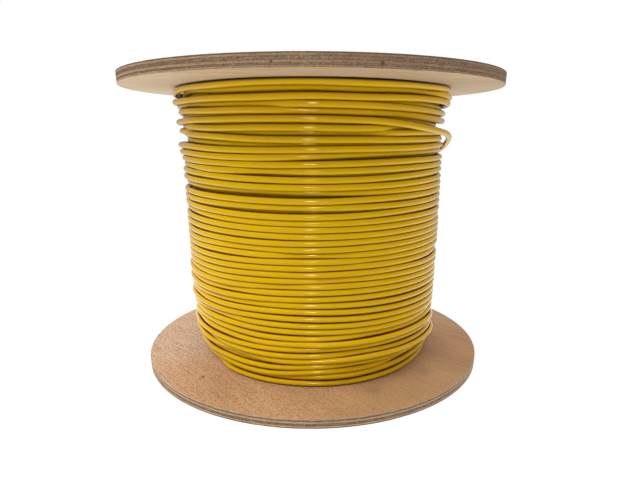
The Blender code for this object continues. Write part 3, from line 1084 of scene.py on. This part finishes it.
winding = {
    # millimetres that the step down to a turn is wider or tighter than the even pitch
    "steps": {
        1: -1.55, 2: 0.85, 3: 0.05, 4: -1.0, 5: 0.5, 6: 1.0, 7: -1.85, 8: -0.35, 9: 1.9, 10: -0.4,
        11: 0.7, 12: -0.1, 13: 1.3, 14: 0.1, 15: -1.55, 16: 1.65, 17: -0.45, 18: 1.95, 19: -0.25,
        20: -0.25, 22: 0.2, 24: -0.7, 25: -0.15, 27: 0.35, 28: -0.25, 29: -0.45, 30: 0.15,
        31: 0.3, 32: 0.1, 33: 0.25, 34: 1.25, 35: 0.95, 36: 0.25, 37: 0.85, 38: -0.15,
        39: -0.75, 40: 1.45, 41: -0.15, 42: -0.25, 43: -0.05, 44: -0.25, 45: 1.3,
    },
    # millimetres that a turn strays from level at these angles from the camera's side
    "sagAngles": (-80, -60, -40, -20, 0, 20, 40, 60, 80),
    "sags": {
        0: (-3.4, -0.8, -1.0, -0.1, 0, -0.8, -0.3, 0.0, 0.0),
        1: (-1.2, 1.8, -0.3, -0.3, 0, -0.6, 1.0, 1.4, -1.0),
        2: (-0.5, -0.5, -0.4, -0.7, 0, -0.5, 0.3, 0.3, -0.6),
        3: (2.3, 2.4, 0.9, 0.3, 0, -0.6, -1.9, -3.3, -3.5),
        4: (1.6, 1.3, 0.5, 0.8, 0, -0.9, -2.5, -5.0, -5.5),
        5: (-1.5, -1.0, -0.4, 0.1, 0, -1.0, -3.0, -5.0, -6.0),
        6: (0.5, 0.5, -0.5, 0.2, 0, -0.8, 0.4, -0.4, -0.8),
        7: (2.2, 2.0, 1.2, 0.3, 0, 0.0, 0.5, 0.4, 0.3),
        8: (3.8, 3.7, 2.2, 0.3, 0, 0.0, -0.2, -0.1, 0.4),
        9: (1.4, 1.1, -0.3, -0.7, 0, 0.5, 0.6, 1.5, 2.0),
        10: (0.4, 0.2, -1.0, -1.3, 0, 1.4, 2.0, 2.2, 2.0),
        11: (1.0, 0.8, -0.1, -0.5, 0, 0.8, 1.6, 1.7, 1.7),
        12: (1.3, 1.1, -0.1, 0.2, 0, 0.6, 1.2, 1.5, 1.4),
        13: (2.9, 2.7, 1.4, 0.5, 0, 0.4, 1.6, 2.6, 2.7),
        14: (2.0, 1.8, 1.1, 0.1, 0, 0.3, 0.9, 1.5, 1.5),
        15: (1.4, 1.2, 0.9, 0.7, 0, -0.7, -0.4, -0.2, -0.4),
        16: (1.4, 1.4, 0.9, 0.4, 0, 0.8, 1.3, 1.3, 1.2),
        17: (0.6, 0.6, 0.6, 0.3, 0, 0.1, 0.0, 0.1, 0.1),
        18: (2.4, 2.0, 1.2, 0.2, 0, 0.8, 1.9, 1.9, 1.5),
        19: (2.4, 2.2, 1.2, 0.2, 0, 0.4, 0.9, 0.5, 0.0),
        21: (0.8, 0.7, 0.6, 0.3, 0, 0.2, 0.5, 0.3, 0.1),
        22: (-0.4, -0.4, 0.0, -0.2, 0, 0.6, 0.7, 0.5, 0.2),
        23: (-1.1, -1.1, 0.1, 0.1, 0, 0.4, 0.6, 0.6, 0.4),
        24: (-1.8, -1.8, -0.6, -0.3, 0, -0.2, 0.0, -0.1, -0.1),
        25: (-2.7, -2.8, -2.0, -0.8, 0, 0.0, 0.0, -0.4, -0.6),
        26: (-2.8, -3.0, -2.4, -0.8, 0, 0.4, 0.0, -0.3, -0.2),
        27: (-2.6, -2.8, -2.4, -0.5, 0, 0.4, 0.1, -1.5, -2.0),
        28: (-2.8, -3.4, -2.9, -1.0, 0, 0.4, -0.4, -2.0, -3.2),
        29: (-2.4, -2.7, -3.3, -1.2, 0, 0.0, -1.0, -2.4, -3.5),
        30: (-2.0, -2.5, -2.5, -0.9, 0, 0.1, -1.0, -2.4, -3.6),
        31: (-2.2, -2.3, -2.5, -0.9, 0, 0.0, -0.9, -2.4, -3.6),
        32: (-1.8, -2.1, -1.9, -0.5, 0, -0.7, -2.2, -3.6, -4.5),
        33: (-1.4, -1.6, -1.5, -0.3, 0, -1.4, -3.1, -4.6, -5.3),
        34: (-0.6, -0.4, -0.6, 0.4, 0, -1.3, -2.7, -4.3, -5.0),
        35: (0.6, 0.7, 1.0, 0.7, 0, -1.0, -1.8, -3.6, -4.5),
        36: (1.4, 1.4, 1.6, 0.6, 0, -0.8, -1.6, -2.9, -3.3),
        37: (2.6, 2.7, 2.3, 0.4, 0, 0.3, -0.3, -2.0, -3.0),
        38: (3.4, 3.0, 1.8, -0.6, 0, 0.6, 0.5, 0.3, -2.4),
        39: (-0.8, -0.9, -1.0, -0.8, 0, 0.2, -0.3, -1.8, -3.0),
        40: (1.9, 1.9, 0.6, -0.4, 0, 1.2, -0.5, -2.2, -3.2),
        41: (3.0, 3.0, 1.9, -0.4, 0, 2.9, 1.6, 0.0, -2.5),
        42: (-6.5, -6.0, -3.8, -3.0, 0, 1.8, 0.1, -1.3, -2.5),
        43: (-4.5, -4.5, -4.3, -4.3, 0, 0.9, 1.0, 0.7, 0.2),
        44: (-3.0, -3.0, -3.0, -3.0, 0, 0.6, 1.9, 2.6, 2.6),
        45: (0, 0, 0, 0, 0, 0, 0, 0, 0),
    },
    # turns that ride out over their neighbours or lie sunk among them: turn, from, to, millimetres out
    "rides": [
        (0, 45, 150, 3.8), (1, 50, 130, 4.8), (2, 50, 120, 4.0), (1, -140, -66, -5.0),
        (0, -150, -55, 4.0), (2, -150, -55, 4.0), (3, -150, -60, 1.5), (5, -150, -60, 3.0),
        (9, -150, -60, 3.0), (10, -150, -60, 2.0), (29, -150, -38, 1.4), (31, -150, -38, 1.4),
        (34, -150, -38, 1.3), (37, 25, 84, -1.2), (38, -8, 84, 3.2), (39, -40, 75, 0.0),
        (40, -140, -46, -3.4), (41, 0, 92, 4.2), (43, 28, 120, -3.4), (44, -140, -8, -3.9),
    ],
    "rideEase": 16,   # degrees
    # the pack is drawn in at the foot, more to the left, and fuller on its right side
    "recess": {
        "low": 22 * mm, "top": 42 * mm,
        # angle, reach to its left and right, depth
        "hollows": ((-62, 40, 48, 5.4 * mm), (60, 28, 40, 3.2 * mm)),
    },
    "lastIn": 1.1 * mm,   # how much nearer to the drum the last turn lies
    "bulge": {
        "angle": 90, "spread": 30, "out": 2.2 * mm, "low": 110 * mm, "top": 230 * mm, "foot": 26 * mm,
    },
    "fade": 45,   # degrees past the last sag angle where a turn is level again
    # slow waves, small between the front angles and full past the back ones
    "waves": {"seed": 11, "count": 14, "size": 0.5 * mm, "front": 0.12, "calmTo": 70, "over": 40},
    # the climb out of the layer beneath: where in its turn it begins and is drawn from, and how many
    # cables deep it begins
    "climb": {"from": 0.55, "drawnFrom": 0.6, "depth": 1.02},
    # rounds of pushing turns apart, how many neighbours each minds, and how well a push holds
    "press": {"rounds": 60, "reach": (1, 2, 3), "hold": 0.985},
    "tailPoints": 14,   # over which the last turn comes out to the outer end's own circle
    # the loose turn's own course: angle from the camera's side, height, radius of its middle
    "loose": 5, "looseSteps": 800, "looseBlur": 20,
    "looseRoute": [
        (22, 237.0, 125.4), (30, 235.8, 127.4), (38, 234.0, 129.4), (46, 231.8, 130.8),
        (54, 229.8, 131.8), (62, 228.2, 132.5), (70, 226.1, 133.0), (76, 223.8, 133.0),
        (82, 220.6, 132.6), (88, 216.0, 131.8), (95, 211.0, 131.0), (104, 207.9, 130.8),
        (118, 207.5, 130.8), (134, 210.4, 130.9), (152, 216.3, 131.0), (172, 223.2, 131.0),
        (192, 228.3, 130.8), (210, 230.8, 128.6), (232.5, 231.4, 125.6),
    ],
}


def smoothLine(values, rounds):
    for _ in range(rounds):
        values[1:-1] = 0.25 * values[:-2] + 0.5 * values[1:-1] + 0.25 * values[2:]
    return values


def routeOf(radii, theta, heights):
    around = np.radians(theta)
    return [Vector((r * math.cos(a), r * math.sin(a), z)) for r, a, z in zip(radii, around, heights)]


def levelHeights():
    # heights of the turns' middles at the camera's side
    extra = np.array([winding["steps"].get(turn, 0.0) * mm for turn in range(cable["turns"])])
    pitch = (highest - lowest - extra.sum()) / (cable["turns"] - 1)
    drops = extra + pitch
    drops[0] = 0
    return highest - np.cumsum(drops)


def curveThrough(row, knots, left, part):
    # a smooth curve from one knot to the next, sloped as its neighbours are
    span = knots[left + 1] - knots[left]
    slopes = []
    for knot in (left, left + 1):
        low, high = max(knot - 1, 0), min(knot + 1, len(knots) - 1)
        slopes.append((row[high] - row[low]) / (knots[high] - knots[low]) * span)
    return (
        row[left] * (2 * part**3 - 3 * part**2 + 1) + row[left + 1] * (3 * part**2 - 2 * part**3)
        + slopes[0] * (part**3 - 2 * part**2 + part) + slopes[1] * (part**3 - part**2)
    )


def straysOf(turns, angles):
    # sags between the guide turns and between the guide angles
    guides = sorted(winding["sags"])
    far = winding["sagAngles"][-1] + winding["fade"]
    knots = (-far, *winding["sagAngles"], far)
    table = np.array([(0, *winding["sags"][guide], 0) for guide in guides]) * mm
    rows = np.array([np.interp(turns, guides, column) for column in table.T]).T
    out = np.zeros((len(turns), len(angles)))
    for index, row in enumerate(rows):
        for left in range(len(knots) - 1):
            part = (angles - knots[left]) / (knots[left + 1] - knots[left])
            here = (part >= 0) & (part <= 1)
            out[index, here] = curveThrough(row, knots, left, part[here])
    return out


def wavesOf(turns, angles):
    # slow waves that neighbouring turns share, stronger round the back
    waves = winding["waves"]
    rng = np.random.default_rng(waves["seed"])
    out = np.zeros((len(turns), len(angles)))
    a = np.radians(angles)
    for _ in range(waves["count"]):
        around, down = rng.integers(1, 6), rng.uniform(0.05, 0.45)
        phase, start = rng.uniform(0, math.tau, 2)
        size = waves["size"] * rng.normal() / math.sqrt(around)
        out += size * np.cos(around * a + phase)[None] * np.cos(down * turns + start)[:, None]
    back = eased((np.abs(angles) - waves["calmTo"]) / waves["over"])
    return out * (waves["front"] + (1 - waves["front"]) * back)[None]


def pressApart(heights, radii, steady):
    # neighbouring turns that would cut into each other are pushed apart, then smoothed along the cable
    press = winding["press"]
    atFirst = heights.copy(), radii.copy()
    for _ in range(press["rounds"]):
        for reach in press["reach"]:
            dr = radii[reach:] - radii[:-reach]
            dz = heights[reach:] - heights[:-reach]
            apart = np.maximum(np.hypot(dr, dz), 1e-6)
            push = np.clip(cable["across"] - apart, 0, None) / apart * 0.5
            push *= ~(steady[reach:] | steady[:-reach])
            for values, step in ((radii, dr * push), (heights, dz * push)):
                values[reach:] += step
                values[:-reach] -= step
        for values, wanted in zip((heights, radii), atFirst):
            calm = smoothLine((values - wanted).ravel(), 1)
            values[...] = wanted + press["hold"] * calm.reshape(values.shape)
        np.clip(heights, lowest, highest, out=heights)
    return heights, radii


def looseCourse(angles):
    # heights and radii of a smooth course through the loose turn's own points
    at, *courses = np.array(winding["looseRoute"]).T
    fine, blur = np.linspace(at[0], at[-1], winding["looseSteps"]), winding["looseBlur"]
    bell = np.exp(-np.linspace(-2, 2, 2 * blur + 1) ** 2)
    for course in courses:
        line = np.pad(np.interp(fine, at, course * mm), blur, mode="edge")
        yield np.interp(angles, fine, np.convolve(line, bell / bell.sum(), mode="valid"))


def recessAt(angles, heights):
    recess = winding["recess"]
    around = np.zeros_like(angles, dtype=float)
    for angle, left, right, depth in recess["hollows"]:
        around += depth * np.exp(-(((angles - angle) / np.where(angles < angle, left, right)) ** 2))
    return around * (1 - eased((heights - recess["low"]) / (recess["top"] - recess["low"])))


def bulgeAt(angles, heights):
    bulge = winding["bulge"]
    around = np.exp(-(((angles - bulge["angle"]) / bulge["spread"]) ** 2))
    fade = 1 - eased((heights - bulge["low"]) / (bulge["top"] - bulge["low"]))
    return bulge["out"] * around * fade * eased((heights - lowest) / (bulge["foot"] - lowest))


def turnRound(points):
    # round one turn: angles, the same from the camera's side, and how far it has stepped down
    part = np.arange(points) / points
    theta = cable["stepFrom"] + cable["stepSector"] + np.arange(points) * 360 / points
    return theta, (theta + 90 + 180) % 360 - 180, eased((part - levelPart) / (1 - levelPart))


def wantedRadii(heights, angles):
    # from the even pack: turns without room sink, some ride out, and the pack bulges and draws in
    radii = np.full_like(heights, lineRadius)
    ease = winding["rideEase"]
    for turn in range(1, len(heights)):
        drop = heights[turn - 1] - heights[turn]
        room = np.sqrt(np.clip(cable["across"] ** 2 - drop**2, 0, None))
        radii[turn] -= np.where(lineRadius - radii[turn - 1] < 0.4 * room, room, 0)
    for turn, start, stop, out in winding["rides"]:
        swell = eased((angles - start) / ease) * eased((stop - angles) / ease)
        radii[turn] = radii[turn] * (1 - swell) + (lineRadius + out * mm) * swell
    radii += bulgeAt(angles, heights) - recessAt(angles, heights)
    radii[-1] -= winding["lastIn"]
    return radii


def layOuterTurns():
    # rows are turns from the top, with the climb out of the layer beneath as row 0
    count, per = cable["turns"], cable["pointsPerTurn"]
    theta, angles, stepped = turnRound(per)
    turns = np.arange(count)
    level = levelHeights()
    below = np.append(level[1:], level[-1])
    heights = level[:, None] + (below - level)[:, None] * stepped[None]
    heights = heights + straysOf(turns, angles) + wavesOf(turns, angles)
    radii = wantedRadii(heights, angles)
    climb = winding["climb"]
    depth = eased(1 - (np.arange(per) - per * climb["from"]) / (per * (1 - climb["from"])))
    heights = np.vstack([np.full(per, level[0]), heights])
    radii = np.vstack([lineRadius - climb["depth"] * cable["across"] * depth, radii])
    steady = np.zeros(heights.shape, bool)
    steady[0, : per // 2] = True
    loose, begins = winding["loose"] + 1, winding["looseRoute"][0][0]
    looseAngles = np.where(angles < begins - 150, angles + 360, angles)
    free = looseAngles >= begins
    steady[loose] = free
    heights, radii = pressApart(heights, radii, steady)
    for values, course in zip((heights, radii), looseCourse(looseAngles)):
        values[loose] = np.where(free, course, values[loose])
    return theta, heights, radii


cutEnd = {
    "wall": 0.6 * mm,   # the sheath's thickness
    "pocket": 1.2 * mm,
    "coreRadius": 0.84 * mm, "coreSpread": 1.22 * mm, "coreOut": 0.35 * mm,
    "wireRadius": 0.34 * mm, "wireOut": 0.3 * mm,
    "colours": (srgb(38, 84, 160), srgb(196, 96, 32), srgb(52, 122, 62), srgb(112, 72, 46)),
    "copper": srgb(196, 118, 72),
    # mottles in a metre, their detail, where they set in, how strong and how dark, metal, roughness
    "insulationLook": (900, 3, 0.3, 0.35, 0.7, 0.0, 0.38),
    "copperLook": (2400, 2, 0.35, 1.0, 0.6, 1.0, 0.3),
}


def hollowEnd(obj, route):
    # sinks the cap that closes the tube, so that the sheath is left as a wall round its cores
    tip = route[-1]
    selectFaces(obj, lambda face: len(face.vertices) > 4 and (face.center - tip).length < 1 * mm)
    bpy.ops.mesh.inset(thickness=cutEnd["wall"])
    inward = headingOf(route) * -cutEnd["pocket"]
    bpy.ops.mesh.extrude_region_move(TRANSFORM_OT_translate={"value": inward})
    leaveEditing()


def roundRod(radius, low, high, soft):
    # a short rod along Z with softened rims
    profile = [(0, low), (radius, low), (radius, high - soft), (radius - soft, high), (0, high)]
    return turnProfile("rod", profile, 16)


def coreMaterial(name, colour, look):
    often, detail, low, most, darker, metallic, roughness = look
    material, shader, place = newMaterial(name)
    dark = tuple(part * darker for part in colour)
    mottle = noiseAt(place, often, detail)
    setSockets(shader, {
        "Base Color": tint(colour, dark, mottle, low, 0.7, 0.0, most),
        "Metallic": metallic,
        "Roughness": roughness,
    })
    return material


def makeCores(name, route, insulation, copper):
    # four insulated cores with their copper, seen in the cut end of the sheath
    turn = headingOf(route).to_track_quat("Z", "Y").to_matrix().to_4x4()
    top = cutEnd["coreOut"]
    for n, finish in enumerate(insulation):
        side = polar(cutEnd["coreSpread"], (n + 0.5) * math.tau / len(insulation))
        place = Matrix.Translation(route[-1]) @ turn @ Matrix.Translation(side)
        core = roundRod(cutEnd["coreRadius"], -cutEnd["pocket"], top, 0.12 * mm)
        wire = roundRod(cutEnd["wireRadius"], top, top + cutEnd["wireOut"], 0.05 * mm)
        for obj, kind, slot, coat in (
            (core, "core", "jacket", finish), (wire, "wire", "steel", copper),
        ):
            obj.name = obj.data.name = f"{name}_{kind}_{n + 1}"
            obj.data.transform(place)
            finishPiece(coated(obj, coat), slot)


def makeOuterWinding():
    theta, heights, radii = layOuterTurns()
    per = cable["pointsPerTurn"]
    first = int(per * winding["climb"]["drawnFrom"])
    last = per * cable["turns"] + int(round(levelPart * per))
    lineR, lineZ = radii.ravel().copy(), heights.ravel().copy()
    tail = eased((np.arange(len(lineR)) - last) / winding["tailPoints"] + 1)
    lineR = smoothLine(lineR * (1 - tail) + lineRadius * tail, 3)
    lineZ = smoothLine(lineZ, 2)
    around = np.tile(theta, cable["turns"] + 1)
    drawn = slice(first, last)
    route = routeOf(lineR[drawn], around[drawn], lineZ[drawn]) + outerEnd
    piece = tubePiece("outer_winding", route, cable["across"], cable["sides"], jacketFinish)
    hollowEnd(piece, route)
    finishPiece(piece, "jacket", "cable_outer_layer")
    return heights, radii


outerHeights, outerRadii = makeOuterWinding()
print("outer winding laid,", cable["turns"], "turns")


# cable under the outer layer

under = {
    "sides": 10,
    "pointsPerTurn": 64,
    "deepest": 3.4 * mm,   # least that a turn lies below the outer layer's middle
    "coreBelow": 8.1 * mm,   # from the outer layer's middle down to the core's ridges
    "coreRibs": 45, "ribSteps": 4,
    "coreSteps": 120,
}


def makeUnderWinding():
    # lies in the furrows of the outer layer, from the bottom up, and crosses it round the back
    per, many = cable["pointsPerTurn"], under["pointsPerTurn"]
    theta, angles, stepped = turnRound(many)
    turns = np.arange(cable["turns"])
    flat = levelHeights()[:, None] + straysOf(turns, angles) + wavesOf(turns, angles)
    furrow = ((flat[1:] + flat[:-1]) / 2)[::-1]
    above = np.vstack([furrow[1:], furrow[-1:]])
    heights = furrow + (above - furrow) * stepped
    columns = np.arange(many) * per / many
    outerZ, outerR = (
        np.array([np.interp(columns, np.arange(per), line) for line in lines])
        for lines in (outerHeights, outerRadii)
    )
    outerR[0, columns < per * winding["climb"]["drawnFrom"]] = 1.0   # not drawn, so out of the way
    radii = lineRadius - under["deepest"] - recessAt(angles[None], heights)
    for z, r in zip(outerZ, outerR):
        apart = np.abs(z[None] - heights)
        reach = np.sqrt(np.clip(cable["across"] ** 2 - apart**2, 0, None))
        radii = np.where(apart < cable["across"], np.minimum(radii, r[None] - reach), radii)
    lineR, lineZ = smoothLine(radii.ravel(), 6), smoothLine(heights.ravel(), 2)
    points = routeOf(lineR, np.tile(theta, len(furrow)), lineZ)
    piece = tubePiece("under_winding", points, cable["across"], under["sides"], jacketFinish)
    finishPiece(piece, "jacket", "cable_inner_layers")


def makeCore(pocket):
    # the layers below those two, ribbed by their turns
    low, high = lowerFace + clear, upperFace - clear
    ridge, inner = lineRadius - under["coreBelow"], drumRadius + clear
    pitch, steps = (high - low) / under["coreRibs"], under["ribSteps"]
    ribs = []
    for n in range(under["coreRibs"]):
        for part in range(steps):
            angle = math.pi * (part + 0.5) / steps
            depth = cable["across"] / 2 * (1 - math.sin(angle))
            ribs.append((ridge - depth, low + pitch * (n + 0.5 - 0.5 * math.cos(angle))))
    ribs[0], ribs[-1] = (ribs[0][0], low), (ribs[-1][0], high)
    core = turnProfile("inner_layers", [(inner, low), *ribs, (inner, high)], under["coreSteps"])
    for vertex in core.data.vertices:
        spot = vertex.co
        if spot.xy.length > (inner + ridge) / 2:
            azimuth = math.degrees(math.atan2(spot.x, -spot.y))
            spot.xy *= 1 - float(recessAt(np.array(azimuth), np.array(spot.z))) / spot.xy.length
    core.data.update()
    core.data.materials.append(jacketFinish)
    takeOut(core, tubePiece("pocket", pocket, cable["across"] + 2 * clear, 16, jacketFinish))
    smoothByAngle(core, 50)
    finishPiece(core, "jacket", "cable_inner_layers")


makeUnderWinding()

backward = (startInside[0] - startInside[1]).normalized() * clear
makeCore([startInside[0] + backward, *startInside[1:]])
startPiece = tubePiece("start_tail", startTail, cable["across"], 16, jacketFinish)
hollowEnd(startPiece, startTail)
finishPiece(startPiece, "jacket", "cable_start_tail")
print("cable laid")

insulation = [
    coreMaterial(f"insulation {n + 1}", colour, cutEnd["insulationLook"])
    for n, colour in enumerate(cutEnd["colours"])
]
copper = coreMaterial("copper wire", cutEnd["copper"], cutEnd["copperLook"])
for name, route in (("outer_end", outerEnd), ("start_end", startTail)):
    makeCores(name, route, insulation, copper)
print("cut ends made")
